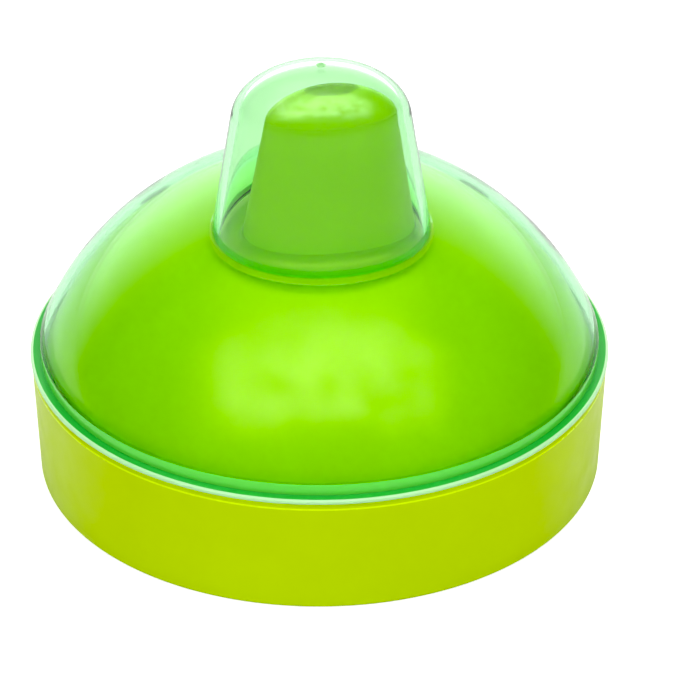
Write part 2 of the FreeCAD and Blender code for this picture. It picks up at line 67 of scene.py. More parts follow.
COVER_RADIUS, COVER_WALL = 45.0, 1.2
BEAD_HEIGHT = 0.8
BEAD_TOP = COLLAR_TOP + BEAD_HEIGHT
BEAD_RADIUS = 42.9
BAND_RADIUS = 41.45  # the cover's upright foot above the bead
DOME_RADIUS, DOME_WALL = 43.25, 1.8
VALVE_OFFSET = 9.2  # from the lid's axis to the valve's

# each oval is (height, half width, half depth, distance from the axis towards -Y)
SPOUT_BASE = (45.0, 12.6, 7.6, 9.0)
SPOUT_CREASE = (64.5, 9.45, 4.4, 10.65)
CROWN_HEIGHT = 4.6
CROWN_LEAN = (0.35, 0.2)  # how much the crown draws in per height where it starts
HOOD_BASE = (37.5, 17.1, 13.55, 9.2)
HOOD_SHOULDER = (63.75, 13.1, 9.1, 9.2)
HOOD_SQUARENESS = 2.15  # 2 is an ellipse
HOOD_BLEND, HOOD_INNER_BLEND = 0.9, 1.2
GATE_RADIUS, GATE_DEPTH = 0.6, 0.3  # the small moulding gate on top of the hood, not cut
BREATHING_RADIUS, BREATHING_TILT, BREATHING_BEARINGS = 2.6, 45.4, (39.2, 140.8)

angles = np.linspace(0, 2 * math.pi, AROUND, endpoint=False)


# ---------------------------------------------------------------- mesh helpers


def mesh_object(name, points, faces):
    """An object whose mesh has these points, in millimetres, and faces."""
    mesh = bpy.data.meshes.new(name)
    mesh.from_pydata([tuple(p) for p in np.asarray(points) * MM], [], faces)
    mesh.validate()
    mesh.update()
    piece = bpy.data.objects.new(name, mesh)
    bpy.context.scene.collection.objects.link(piece)
    return piece


def skin(name, rings, first_pole=None, last_pole=None):
    """A closed mesh over rings of points. Without poles the last ring joins the first."""
    count, around = len(rings), len(rings[0])
    points = list(np.concatenate(rings))
    faces = []
    steps = count if first_pole is None else count - 1
    for k in range(steps):
        low, high = k * around, ((k + 1) % count) * around
        for i in range(around):
            j = (i + 1) % around
            faces.append((low + i, high + i, high + j, low + j))
    if first_pole is not None:
        points += [first_pole, last_pole]
        start, end = len(points) - 2, len(points) - 1
        last = (count - 1) * around
        for i in range(around):
            j = (i + 1) % around
            faces.append((start, i, j))
            faces.append((end, last + j, last + i))
    return mesh_object(name, points, faces)


def level_ring(radius, height, around=AROUND):
    turn = np.linspace(0, 2 * math.pi, around, endpoint=False)
    return np.stack([radius * np.cos(turn), radius * np.sin(turn), np.full(around, height)], 1)


def oval_ring(oval):
    height, half_width, half_depth, offset = oval
    x = half_width * np.cos(angles)
    y = half_depth * np.sin(angles) - offset
    return np.stack([x, y, np.full(AROUND, height)], 1)


def cap_rings(oval, rise, count, squareness=2.0, taper=(0.0, 0.0)):
    """Rings from near the top of a rounded cap down to its oval foot, and the point at its top.
    The taper is how much the half width and half depth shrink per height where the cap begins."""
    height, half_width, half_depth, offset = oval
    rings = []
    for k in range(1, count + 1):
        t = math.pi / 2 * (1 - k / count)
        level = rise * math.sin(t) ** (2 / squareness)
        share = math.cos(t) ** (2 / squareness)
        wide = (half_width - taper[0] * level) * share
        deep = (half_depth - taper[1] * level) * share
        rings.append(oval_ring((height + level, wide, deep, offset)))
    return rings, np.array([0, -offset, height + rise])


def between(first, second, shares):
    return [first + (second - first) * share for share in shares]


def meets_shell(lower, upper, radius):
    """Where straight lines from one ring to another cross a spherical shell, and their directions."""
    centre = np.array([0, 0, SHELL_CENTRE])
    along = upper - lower
    start = lower - centre
    a = (along * along).sum(1)
    b = (start * along).sum(1)
    c = (start * start).sum(1) - radius * radius
    share = (-b + np.sqrt(b * b - a * c)) / a
    crossing = lower + along * share[:, None]
    return crossing, along / np.sqrt(a)[:, None]


def unit(vectors):
    return vectors / np.linalg.norm(vectors, axis=1)[:, None]


def foot_blend(crossing, up, oval, shell_radius, blend, count=12):
    """Rings of the hollow fillet where an oval wall rises from a shell, from the wall outwards."""
    centre = np.array([0, 0, SHELL_CENTRE])
    half_width, half_depth = oval[1:3]
    no_rise = np.zeros(AROUND)
    outward = np.stack([np.cos(angles) / half_width, np.sin(angles) / half_depth, no_rise], 1)
    normal = unit(crossing - centre)
    along_shell = unit(outward - normal * (outward * normal).sum(1)[:, None])
    cosine = (up * along_shell).sum(1)
    turn = math.pi - np.arccos(np.clip(cosine, -1, 1))
    reach = (blend * np.tan(turn / 2))[:, None]
    on_wall = crossing + up * reach
    angle = reach / shell_radius
    on_shell = centre + shell_radius * (normal * np.cos(angle) + along_shell * np.sin(angle))
    weight = np.cos(turn / 2)[:, None]
    rings = []
    for share in np.linspace(0, 1, count):
        a, b, c = (1 - share) ** 2, 2 * share * (1 - share), share**2
        blended = (on_wall * a + crossing * b * weight + on_shell * c) / (a + b * weight + c)
        rings.append(blended)
    return rings


def shell_rings(start, radius, reach, count):
    """Rings over a spherical shell from a given ring out to the level circle at a reach from the axis."""
    centre = np.array([0, 0, SHELL_CENTRE])
    direction = unit(start - centre)
    tilt = np.arccos(direction[:, 2])
    level = np.maximum(np.hypot(direction[:, 0], direction[:, 1]), 1e-9)
    flat_start = direction[:, :2] * (tilt / level)[:, None]
    end_tilt = math.asin(reach / radius)
    flat_end = end_tilt * np.stack([np.cos(angles), np.sin(angles)], 1)
    rings = []
    for share in np.linspace(0, 1, count + 1)[1:]:
        flat = flat_start + (flat_end - flat_start) * share
        angle = np.hypot(flat[:, 0], flat[:, 1])
        scale = np.sin(angle) / np.maximum(angle, 1e-9)
        ring = np.stack([flat[:, 0] * scale, flat[:, 1] * scale, np.cos(angle)], 1)
        rings.append(centre + radius * ring)
    return rings


def outline(corners, steps=5, guard=0.12):
    """Points along an outline of (radius, height, rounding) corners, from its first end to its last. Each
    corner between them is a small arc with a guard point on both sides, which keeps the flats flat."""
    made = [corners[0][:2]]
    for before, corner, after in zip(corners, corners[1:], corners[2:]):
        here = np.array(corner[:2])
        back, forth = np.array(before[:2]) - here, np.array(after[:2]) - here
        room = min(np.linalg.norm(back), np.linalg.norm(forth)) / 2
        back, forth = back / np.linalg.norm(back), forth / np.linalg.norm(forth)
        half_angle = math.acos(np.clip(back @ forth, -1, 1)) / 2
        reach = min(corner[2] / math.tan(half_angle), room * 0.9)
        weight = math.sin(half_angle)
        made.append(here + back * min(reach + guard, room))
        for share in np.linspace(0, 1, steps):
            a, b, c = (1 - share) ** 2, 2 * share * (1 - share) * weight, share**2
            made.append(here + (back * a + forth * c) * reach / (a + b + c))
        made.append(here + forth * min(reach + guard, room))
    made.append(corners[-1][:2])
    return [tuple(float(v) for v in p) for p in made]


def turned(points, around=AROUND):
    return [level_ring(radius, height, around) for radius, height in points]


def height_at(radius, reach):
    return SHELL_CENTRE + math.sqrt(radius**2 - reach**2)


def cut(piece, tools, operation="DIFFERENCE"):
    """Cut the tools out of a piece, or add them to it, and remove them. The tools' faces have to look
    outwards for this to work, and here they don't: see the known fault at the top."""
    for tool in tools:
        step = piece.modifiers.new(operation.lower(), "BOOLEAN")
        step.operation = operation
        step.solver = "MANIFOLD"
        step.object = tool
    apply_modifiers(piece)
    for tool in tools:
        bpy.data.objects.remove(tool)


def apply_modifiers(piece):
    graph = bpy.context.evaluated_depsgraph_get()
    finished = bpy.data.meshes.new_from_object(piece.evaluated_get(graph))
    piece.modifiers.clear()
    piece.data = finished


def smooth(piece, edge_angle=32):
    piece.data.shade_smooth()
    piece.data.set_sharp_from_angle(angle=math.radians(edge_angle))


def points_of(piece):
    """The points of a piece's mesh, in metres."""
    points = np.empty(len(piece.data.vertices) * 3)
    piece.data.vertices.foreach_get("co", points)
    return points.reshape(-1, 3)


def crease_at(piece, height):
    """Keep the level ring of edges at a height crisp, however shallow its angle."""
    heights = points_of(piece)[:, 2] / MM
    for edge in piece.data.edges:
        if np.abs(heights[list(edge.vertices)] - height).max() < 0.001:
            edge.use_edge_sharp = True


def about_axis(piece, degrees):
    """Turn a piece's mesh about the lid's axis."""
    cos, sin = math.cos(math.radians(degrees)), math.sin(math.radians(degrees))
    turn = np.array([[cos, sin, 0], [-sin, cos, 0], [0, 0, 1]])
    piece.data.vertices.foreach_set("co", (points_of(piece) @ turn).ravel())
    piece.data.update()


def rod(name, centre, axis, radius, low, high, around=48):
    """A round tool along an axis from a centre, between two distances. Its faces look inwards, because
    the rings run from low to high: this is the known fault."""
    axis = Vector(axis).normalized()
    side = axis.orthogonal().normalized()
    other = axis.cross(side)
    rings = []
    for distance in (low, high):
        ring = []
        for turn in np.linspace(0, 2 * math.pi, around, endpoint=False):
            arm = side * math.cos(turn) + other * math.sin(turn)
            ring.append(np.array(Vector(centre) + axis * distance + arm * radius))
        rings.append(np.array(ring))
    ends = [np.array(Vector(centre) + axis * distance) for distance in (low, high)]
    return skin(name, rings, ends[0], ends[1])


# ---------------------------------------------------------------- pieces


def make_collar():
    """The ring that screws on the bottle, with four rounded thread lugs on its inside."""
    entry, root, lip = 40.4, 39.9, 39.3  # inside radii
    foot, widest, top = 41.7, 42.68, 42.42  # outside radii
    bevel, lip_thickness = 0.85, 1.6
    under_lip = COLLAR_TOP - lip_thickness
    chamber_foot, entry_height = 13.5, 4.6
    lugs_top, lugs_foot, lug_rings = 12.8, 5.3, 76
    outside = outline(
        [
            (entry, 1.2, 0),
            (entry, 0, 0.2),
            (foot, 0, 0.4),
            (widest, COLLAR_TOP - bevel, 0.15),
            (top, COLLAR_TOP, 0.2),
            (lip, COLLAR_TOP, 0.3),
            (lip, under_lip, 0.2),
            (entry, under_lip, 0.2),
            (entry, chamber_foot + 0.5, 0.2),
            (root, chamber_foot, 0.2),
            (root, lugs_top + 0.1, 0),
        ]
    )
    around = 2 * AROUND
    rings = turned(outside, around)
    bearings = np.linspace(0, 2 * math.pi, around, endpoint=False)
    for height in np.linspace(lugs_top, lugs_foot, lug_rings):
        rings.append(level_ring(root - lug_height(bearings, height), height, around))
    plain = [(root, 5.1), (entry, entry_height), (entry, entry_height - 0.2), (entry, 1.4)]
    rings += turned(plain, around)
    collar = skin("collar_body", rings)
    smooth(collar)
    return collar


def lug_height(bearings, height):
    """How far the thread stands in at a height, round the collar."""
    lead, sweep, crest = 16.0, math.radians(81), 0.9
    first_middle, half_lug, flank_height, end_angle = 7.2, 1.3, 0.6, 0.03
    raised = np.zeros_like(bearings)
    for start in range(4):
        turn = (bearings - start * math.pi / 2) % (2 * math.pi)
        middle = first_middle + lead * turn / (2 * math.pi)
        away = np.abs(height - middle)
        flank = np.clip((half_lug - away) / flank_height, 0, 1)
        ends = np.clip(turn / end_angle, 0, 1) * np.clip((sweep - turn) / end_angle, 0, 1)
        ramp = flank * ends
        raised = np.maximum(raised, crest * ramp * ramp * (3 - 2 * ramp))
    return raised


def make_dome():
    """The domed lid with its spout, valve socket, air inlet and the flange that the collar holds. Its
    holes and recesses are meant to be cut, and aren't."""
    crown, crown_top = cap_rings(SPOUT_CREASE, CROWN_HEIGHT, 36, taper=CROWN_LEAN)
    wall_foot, wall_top = oval_ring(SPOUT_BASE), oval_ring(SPOUT_CREASE)
    crossing, up = meets_shell(wall_foot, wall_top, DOME_RADIUS)
    blend = foot_blend(crossing, up, SPOUT_BASE, DOME_RADIUS, 1.8)
    wall = between(wall_top, blend[0], np.linspace(0.015, 0.98, 44))
    edge, neck, flange, plug, plug_inside, inside_foot = 39.9, 39.0, 40.1, 36.0, 34.7, 37.2  # radii
    edge_height, flange_top, flange_foot, plug_foot, inside_height = 18.6, 16.4, 14.9, 11.6, 19.0
    shell = shell_rings(blend[-1], DOME_RADIUS, edge, 110)
    inner = DOME_RADIUS - DOME_WALL
    rim = outline(
        [
            (edge, height_at(DOME_RADIUS, edge), 0),
            (edge, edge_height, 0.25),
            (neck, edge_height, 0.1),
            (neck, flange_top, 0.1),
            (flange, flange_top, 0.2),
            (flange, flange_foot, 0.2),
            (plug, flange_foot, 0.1),
            (plug, plug_foot, 0.4),
            (plug_inside, plug_foot, 0.4),
            (plug_inside, flange_foot, 0.3),
            (inside_foot, inside_height, 0.5),
            (inside_foot, height_at(inner, inside_foot), 0),
        ]
    )
    inside = []
    widest = math.asin(inside_foot / inner)
    for share in np.linspace(0.99, 0.02, 60):
        tilt = widest * share
        inside.append(level_ring(inner * math.sin(tilt), SHELL_CENTRE + inner * math.cos(tilt)))
    rings = crown + wall + blend + shell + turned(rim[1:]) + inside
    dome = skin("dome_lid", rings, crown_top, np.array([0, 0, SHELL_CENTRE + inner]))
    socket_radius, socket_foot, above_wall = 13.0, 30.95, 44.0
    post = rod("post", (0, -VALVE_OFFSET, 0), (0, 0, 1), socket_radius, socket_foot, above_wall, 96)
    cut(post, [ball("trim", DOME_RADIUS - DOME_WALL / 3)], "INTERSECT")
    boss_radius, boss_foot, within_wall = 6.5, 39.6, 42.0
    boss = rod("boss", (0, 0, SHELL_CENTRE), vent_axis(), boss_radius, boss_foot, within_wall, 64)
    cut(dome, [post, boss], "UNION")
    cut(dome, spout_tools() + vent_tools())
    about_axis(dome, SPOUT_TURN)
    smooth(dome)
    crease_at(dome, SPOUT_CREASE[0])
    return dome


def ball(name, radius):
    """A ball about the shells' centre."""
    rings = []
    for tilt in np.linspace(0, math.pi, 92)[1:-1]:
        rings.append(level_ring(radius * math.sin(tilt), SHELL_CENTRE + radius * math.cos(tilt)))
    poles = [np.array([0, 0, SHELL_CENTRE + side * radius]) for side in (1, -1)]
    return skin(name, rings, *poles)


def vent_axis():
    """The way that the air inlet points, from the shells' centre."""
    tilt = math.radians(18.9)
    return (0, math.sin(tilt), math.cos(tilt))


def spout_tools():
    """What is meant to be cut out of the spout: its channel, the valve's bore, the crown's hollow and
    three holes."""
    offset = SPOUT_CREASE[3]
    channel_foot, channel_top = 39.0, 62.3
    floor, above_crown = 68.2, 69.5
    bore_radius, below_socket, bore_top = 11.6, 29.0, 39.6
    hole_radius, hole_spacing, hole_foot = 0.6, 2.2, 61.3
    up = (0, 0, 1)
    channel = [
        oval_ring((channel_foot, 10.6, 6.0, VALVE_OFFSET)),
        oval_ring((channel_top, 7.6, 2.8, offset)),
    ]
    hollow = [
        oval_ring((floor, 3.5, 1.5, offset)),
        oval_ring((floor + 0.2, 3.8, 1.8, offset)),
        oval_ring((above_crown, 4.6, 2.5, offset)),
    ]
    tools = [
        skin("channel", channel, channel[0].mean(0), channel[-1].mean(0)),
        skin("hollow", hollow, hollow[0].mean(0), hollow[-1].mean(0)),
        rod("bore", (0, -VALVE_OFFSET, 0), up, bore_radius, below_socket, bore_top, 96),
    ]
    for place in (-hole_spacing, 0, hole_spacing):
        tools.append(rod("hole", (place, -offset, 0), up, hole_radius, hole_foot, above_crown, 32))
    return tools


def vent_tools():
    """What is meant to be cut out of the air inlet: its recess, the stem's hole and four air holes."""
    axis = Vector(vent_axis())
    centre = Vector((0, 0, SHELL_CENTRE))
    recess_radius, recess_floor, above_dome = 3.6, 41.6, 45.0
    stem_radius, air_radius, air_ring = 1.3, 0.7, 2.5
    below_floor, above_floor = 38.6, 42.6
    tools = [
        rod("recess", centre, axis, recess_radius, recess_floor, above_dome, 64),
        rod("stem", centre, axis, stem_radius, below_floor, above_floor, 32),
    ]
    side = axis.orthogonal().normalized()
    other = axis.cross(side)
    for turn in range(4):
        angle = math.radians(45 + 90 * turn)
        beside = centre + (side * math.cos(angle) + other * math.sin(angle)) * air_ring
        tools.append(rod("air", beside, axis, air_radius, below_floor, above_floor, 24))
    return tools


def hood_rings(inset):
    """The hood's outside, or its inside at an inset, from its apex down to the shell, and the top point."""
    change = np.array([0, inset, inset, 0])
    shoulder, base = np.array(HOOD_SHOULDER) - change, np.array(HOOD_BASE) - change
    taper = (base - shoulder)[1:3] / (shoulder - base)[0]
    rise = COVER_TOP - inset - shoulder[0]
    cap, apex = cap_rings(shoulder, rise, 60, HOOD_SQUARENESS, taper)
    crossing, up = meets_shell(oval_ring(base), oval_ring(shoulder), COVER_RADIUS - inset)
    blend_size = HOOD_INNER_BLEND if inset else HOOD_BLEND
    blend = foot_blend(crossing, up, base, COVER_RADIUS - inset, blend_size)
    wall = between(cap[-1], blend[0], np.linspace(0.02, 0.98, 50))
    return cap + wall + blend, apex


def breathing_axes(turn):
    """The ways that the two breathing holes point from the shells' centre, turned about +Z by degrees."""
    tilt = math.radians(BREATHING_TILT)
    axes = []
    for bearing in BREATHING_BEARINGS:
        swing = math.radians(bearing + turn)
        axes.append((math.sin(tilt) * math.cos(swing), math.sin(tilt) * math.sin(swing), math.cos(tilt)))
    return axes


def make_cover():
    """The clear travel cover: a spherical shell with a bead on its foot and a hood. Its two breathing
    holes and its gate are meant to be cut, and aren't."""
    outer, apex = hood_rings(0)
    inner, inner_apex = hood_rings(COVER_WALL)
    inner_radius = COVER_RADIUS - COVER_WALL
    foot_gap, foot_reach = 0.02, 40.4
    foot = COLLAR_TOP + foot_gap
    outer += shell_rings(outer[-1], COVER_RADIUS, BAND_RADIUS, 110)
    rim = outline(
        [
            (BAND_RADIUS, height_at(COVER_RADIUS, BAND_RADIUS), 0),
            (BAND_RADIUS, BEAD_TOP, 0.1),
            (BEAD_RADIUS, BEAD_TOP, 0.35),
            (BEAD_RADIUS, foot, 0.35),
            (foot_reach, foot, 0.2),
            (foot_reach, height_at(inner_radius, foot_reach), 0),
        ]
    )
    inner += shell_rings(inner[-1], inner_radius, foot_reach, 110)
    rings = outer + turned(rim[1:-1]) + inner[::-1]
    cover = skin("travel_cover_shell", rings, apex, inner_apex)
    centre, below_wall, above_wall = (0, 0, SHELL_CENTRE), 41.8, 47.0
    tools = []
    for axis in breathing_axes(0):
        tools.append(rod("breathing", centre, axis, BREATHING_RADIUS, below_wall, above_wall, 64))
    over_hood = (0, -HOOD_SHOULDER[3], COVER_TOP)
    tools.append(rod("gate", over_hood, (0, 0, 1), GATE_RADIUS, -GATE_DEPTH, 1, 32))
    cut(cover, tools)
    about_axis(cover, HOOD_TURN)
    smooth(cover)
    return cover


# ---------------------------------------------------------------- materials


def new_material(name):
    material = bpy.data.materials.new(name)
    material.use_nodes = True
    tree = material.node_tree
    shader = next(node for node in tree.nodes if node.type == "BSDF_PRINCIPLED")
    return material, tree, shader


def object_space(tree):
    return tree.nodes.new("ShaderNodeTexCoord").outputs["Object"]


def noise(tree, scale, detail=3.0):
    node = tree.nodes.new("ShaderNodeTexNoise")
    node.inputs["Scale"].default_value = scale
    node.inputs["Detail"].default_value = detail
    tree.links.new(object_space(tree), node.inputs["Vector"])
    return node.outputs["Fac"]


def ranged(tree, source, low, high, start=0.3, end=0.7):
    """The source's middle stretch spread over low to high."""
    node = tree.nodes.new("ShaderNodeMapRange")
    node.inputs["From Min"].default_value = start
    node.inputs["From Max"].default_value = end
    node.inputs["To Min"].default_value = low
    node.inputs["To Max"].default_value = high
    tree.links.new(source, node.inputs["Value"])
    return node.outputs["Result"]


def mixed_colour(tree, factor, first, second):
    node = tree.nodes.new("ShaderNodeMix")
    node.data_type = "RGBA"
    node.inputs["A"].default_value = (*first, 1)
    node.inputs["B"].default_value = (*second, 1)
    tree.links.new(factor, node.inputs["Factor"])
    return node.outputs["Result"]


def bumped(tree, shader, heights):
    """Stack bumps of (height source, strength, distance in metres) on a shader."""
    before = None
    for source, strength, distance in heights:
        node = tree.nodes.new("ShaderNodeBump")
        node.inputs["Strength"].default_value = strength
        node.inputs["Distance"].default_value = distance
        tree.links.new(source, node.inputs["Height"])
        if before is not None:
            tree.links.new(before, node.inputs["Normal"])
        before = node.outputs["Normal"]
    tree.links.new(before, shader.inputs["Normal"])


def scratches(tree, scale, turn):
    """Fine straight marks that run one way, as a height."""
    mapping = tree.nodes.new("ShaderNodeMapping")
    mapping.inputs["Rotation"].default_value = turn
    mapping.inputs["Scale"].default_value = (scale, scale * 0.04, scale)
    tree.links.new(object_space(tree), mapping.inputs["Vector"])
    node = tree.nodes.new("ShaderNodeTexNoise")
    node.inputs["Scale"].default_value = 1.0
    node.inputs["Detail"].default_value = 2.0
    tree.links.new(mapping.outputs["Vector"], node.inputs["Vector"])
    return ranged(tree, node.outputs["Fac"], 0, 1, 0.70, 0.78)


LIME = (0.485, 0.75, 0.0)
COLLAR_LIME = (0.455, 0.645, 0.0)


def lime_plastic(name, colour, roughness_low, roughness_high, gloss, tint, grain=2600):
    """Moulded polypropylene: faint colour drift, a fine satin skin, slow sink marks and hair scratches."""
    material, tree, shader = new_material(name)
    drift = ranged(tree, noise(tree, 60), 0, 1)
    deeper = tuple(share * 0.95 for share in colour)
    tree.links.new(mixed_colour(tree, drift, colour, deeper), shader.inputs["Base Color"])
    handling = ranged(tree, noise(tree, 240, 5), roughness_low, roughness_high)
    tree.links.new(handling, shader.inputs["Roughness"])
    shader.inputs["IOR"].default_value = 1.49
    shader.inputs["Specular IOR Level"].default_value = gloss
    shader.inputs["Specular Tint"].default_value = (*tint, 1)
    fine = noise(tree, grain, 2)
    slow = noise(tree, 45, 1)
    marks = scratches(tree, 900, (0.3, 0.2, 0.9))
    bumped(tree, shader, [(slow, 0.25, 0.0015), (fine, 0.06, 0.00006), (marks, 0.12, 0.00003)])
    return material


def clear_green(name, colour, clearness, index=1.2):
    """Clear polystyrene with a green tint that deepens where the wall is seen edge-on. The paler and deeper
    colours that some cover zones give it are painted light and shade.
    """
    material, tree, shader = new_material(name)
    shader.inputs["Transmission Weight"].default_value = clearness
    shader.inputs["IOR"].default_value = index
    shader.inputs["Base Color"].default_value = (*colour, 1)
    rubbed = ranged(tree, noise(tree, 300, 4), 0.01, 0.05)
    tree.links.new(rubbed, shader.inputs["Roughness"])
    slow = noise(tree, 70, 1)
    marks = scratches(tree, 700, (0.2, 0.5, 0.4))
    bumped(tree, shader, [(slow, 0.12, 0.0008), (marks, 0.08, 0.00003)])
    absorption = tree.nodes.new("ShaderNodeVolumeAbsorption")
    absorption.inputs["Color"].default_value = (0.0, 1.0, 0.25, 1)
    absorption.inputs["Density"].default_value = 130.0
    output = next(node for node in tree.nodes if node.type == "OUTPUT_MATERIAL")
    tree.links.new(absorption.outputs["Volume"], output.inputs["Volume"])
    return material


def white_plastic():
    """Matte white polypropylene of the valve parts."""
    material, tree, shader = new_material("matte_white_plastic")
    drift = ranged(tree, noise(tree, 120), 0, 1)
    white = mixed_colour(tree, drift, (0.86, 0.87, 0.84), (0.82, 0.83, 0.80))
    tree.links.new(white, shader.inputs["Base Color"])
    tree.links.new(ranged(tree, noise(tree, 500, 4), 0.38, 0.55), shader.inputs["Roughness"])
    bumped(tree, shader, [(noise(tree, 3000, 2), 0.1, 0.00005)])
    return material


def silicone():
    """Milky silicone rubber."""
    material, tree, shader = new_material("milky_silicone")
    drift = ranged(tree, noise(tree, 150), 0, 1)
    milky = mixed_colour(tree, drift, (0.80, 0.82, 0.80), (0.74, 0.77, 0.75))
    tree.links.new(milky, shader.inputs["Base Color"])
    tree.links.new(ranged(tree, noise(tree, 400, 4), 0.42, 0.6), shader.inputs["Roughness"])
    shader.inputs["Subsurface Weight"].default_value = 0.3
    shader.inputs["Subsurface Radius"].default_value = (1.0, 1.0, 1.0)
    shader.inputs["Subsurface Scale"].default_value = 0.002
    bumped(tree, shader, [(noise(tree, 2200, 3), 0.12, 0.00006)])
    return material


def paint(piece, material):
    piece.data.materials.clear()
    piece.data.materials.append(material)


def paint_zones(piece, materials, zones_of):
    """Give each face one of the materials, by the number that zones_of gives for the face's middle."""
    middles = np.empty(len(piece.data.polygons) * 3)
    piece.data.polygons.foreach_get("center", middles)
    zones = zones_of(middles.reshape(-1, 3) / MM)
    piece.data.materials.clear()
    for material in materials:
        piece.data.materials.append(material)
    piece.data.polygons.foreach_set("material_index", zones.astype(np.int32))
    piece.data.update()


def from_centre(places):
    """How far places are from the shells' centre."""
    return np.linalg.norm(places - (0, 0, SHELL_CENTRE), axis=1)


def dome_zones(middles):
    """0 for the glossy dome, 1 for the spout's satin wall and 2 for its polished crown."""
    z = middles[:, 2]
    above_blend = 1.2
    zones = np.where(from_centre(middles) > DOME_RADIUS + above_blend, 1, 0)
    zones[z > SPOUT_CREASE[0]] = 2
    return zones


def collar_zones(middles):
    """0 for the collar, 1 for the painted highlight: two bright lines painted on the rounds of its bevelled
    top edge.
    """
    x, y, z = middles.T
    below = COLLAR_TOP - z
    upper_line, lower_line, bevel_reach = 0.45, (0.72, 0.95), 42.3
    lines = (below < upper_line) | (below > lower_line[0]) & (below < lower_line[1])
    return np.where((np.hypot(x, y) > bevel_reach) & lines, 1, 0)


def cover_zones(middles):
    """0 for the shell, 1 for the hood, 2 for the upright band, painted paler as a reflection of the floor,
    3 for the ledge, painted deep green as shade, 4 for the bead, painted pale as a reflection of the floor,
    and for the gate, a painted pale mark, 5 and 6 for the inner and outer bend at the front of the hood's
    foot and 7 for both at its back, painted with light that stands in for refracted light and a highlight,
    and 8 for the breathing holes, painted deep green, partly the tint seen edge-on and partly painted
    shade, which are closed discs here and were meant to be only the holes' walls."""
    x, y, z = middles.T
    reach, away = np.hypot(x, y), from_centre(middles)
    outer, inner = COVER_RADIUS + 0.02, COVER_RADIUS - COVER_WALL + 0.02
    zones = np.where(away > outer, 1, 0)
    outside = reach > BAND_RADIUS - 0.3
    zones[outside & (z < height_at(COVER_RADIUS, BAND_RADIUS))] = 2
    zones[outside & (z < BEAD_TOP + 0.1)] = 3
    bead_edge = (z < BEAD_TOP + 0.02) & (reach > BEAD_RADIUS - 0.4)
    zones[(reach > 40.5) & ((z < BEAD_TOP - 0.1) | bead_edge)] = 4
    turn, offset = math.radians(HOOD_TURN), HOOD_SHOULDER[3]
    from_hood = np.hypot(x - offset * math.sin(turn), y + offset * math.cos(turn))
    zones[(from_hood < GATE_RADIUS * 1.05) & (z > COVER_TOP - 0.5)] = 4
    near_hood = from_hood < HOOD_BASE[1] + 2
    inner_bend = (away > inner) & (away < COVER_RADIUS - 0.3) & near_hood
    outer_bend = (away > outer) & (away < COVER_RADIUS + 0.75) & near_hood
    zones[inner_bend] = 5
    zones[outer_bend] = 6
    zones[(inner_bend | outer_bend) & (y > 1.5 - offset)] = 7
    for axis in breathing_axes(HOOD_TURN):
        across = np.linalg.norm(np.cross(middles - (0, 0, SHELL_CENTRE), axis), axis=1)
        zones[(across < BREATHING_RADIUS + 0.01) & (away > 40) & (middles @ axis > 0)] = 8
    return zones


def paint_cad(node, material):
    """Give a carried-over CAD node its material."""
    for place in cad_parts[node].material_slots:
        place.material = material


# ---------------------------------------------------------------- stage


def make_floor():
    """A broad white table top that glows where the camera sees it, and mirrors dim in front of the lid."""
    half, height = 3000.0, -0.05
    corners = [(x, y, height) for x, y in ((-half, -half), (half, -half), (half, half), (-half, half))]
    floor = mesh_object("floor", corners, [(0, 1, 2, 3)])
    material, tree, shader = new_material("white_table")
    shader.inputs["Roughness"].default_value = 0.9
    shader.inputs["Emission Color"].default_value = (1, 1, 1, 1)
    path = tree.nodes.new("ShaderNodeLightPath")
    glow, white, dim = 0.5, (0.80, 0.80, 0.80), (0.25, 0.25, 0.25)
    lit = maths(tree, "MULTIPLY", path.outputs["Is Camera Ray"], glow)
    tree.links.new(lit, shader.inputs["Emission Strength"])
    mirrored = maths(tree, "SUBTRACT", path.outputs["Is Reflection Ray"], path.outputs["Is Diffuse Ray"])
    parted = tree.nodes.new("ShaderNodeSeparateXYZ")
    tree.links.new(object_space(tree), parted.inputs["Vector"])
    in_front = stepped(tree, parted.outputs["Y"], 0.0, -0.15)
    dimmed = maths(tree, "MULTIPLY", maths(tree, "MAXIMUM", mirrored, 0.0), in_front)
    tree.links.new(mixed_colour(tree, dimmed, white, dim), shader.inputs["Base Color"])
    paint(floor, material)


def soft_box(tree, direction, elevation, bearing, half_wide, half_high, softness):
    """How much a direction lies in a soft-edged box of sky, 0 to 1. The bearing is from -Y towards +X."""
    up, round_about = math.radians(elevation), math.radians(bearing)
    flat = Vector((math.sin(round_about), -math.cos(round_about), 0))
    middle = flat * math.cos(up) + Vector((0, 0, math.sin(up)))
    side = Vector((0, 0, 1)).cross(middle).normalized()
    over = middle.cross(side)
    ahead = dotted(tree, direction, middle)
    result = stepped(tree, ahead, 0.05, 0.1)
    for axis, half in ((side, half_wide), (over, half_high)):
        share = maths(tree, "DIVIDE", dotted(tree, direction, axis), maths(tree, "MAXIMUM", ahead, 0.05))
        edge = math.tan(math.radians(half))
        inside = stepped(tree, maths(tree, "ABSOLUTE", share), edge * (1 + softness), edge * (1 - softness))
        result = maths(tree, "MULTIPLY", result, inside)
    return result


def maths(tree, operation, *values):
    node = tree.nodes.new("ShaderNodeMath")
    node.operation = operation
    for socket, value in zip(node.inputs, values):
        if isinstance(value, (int, float)):
            socket.default_value = value
        else:
            tree.links.new(value, socket)
    return node.outputs["Value"]


def dotted(tree, direction, axis):
    node = tree.nodes.new("ShaderNodeVectorMath")
    node.operation = "DOT_PRODUCT"
    node.inputs[1].default_value = axis
    tree.links.new(direction, node.inputs[0])
    return node.outputs["Value"]


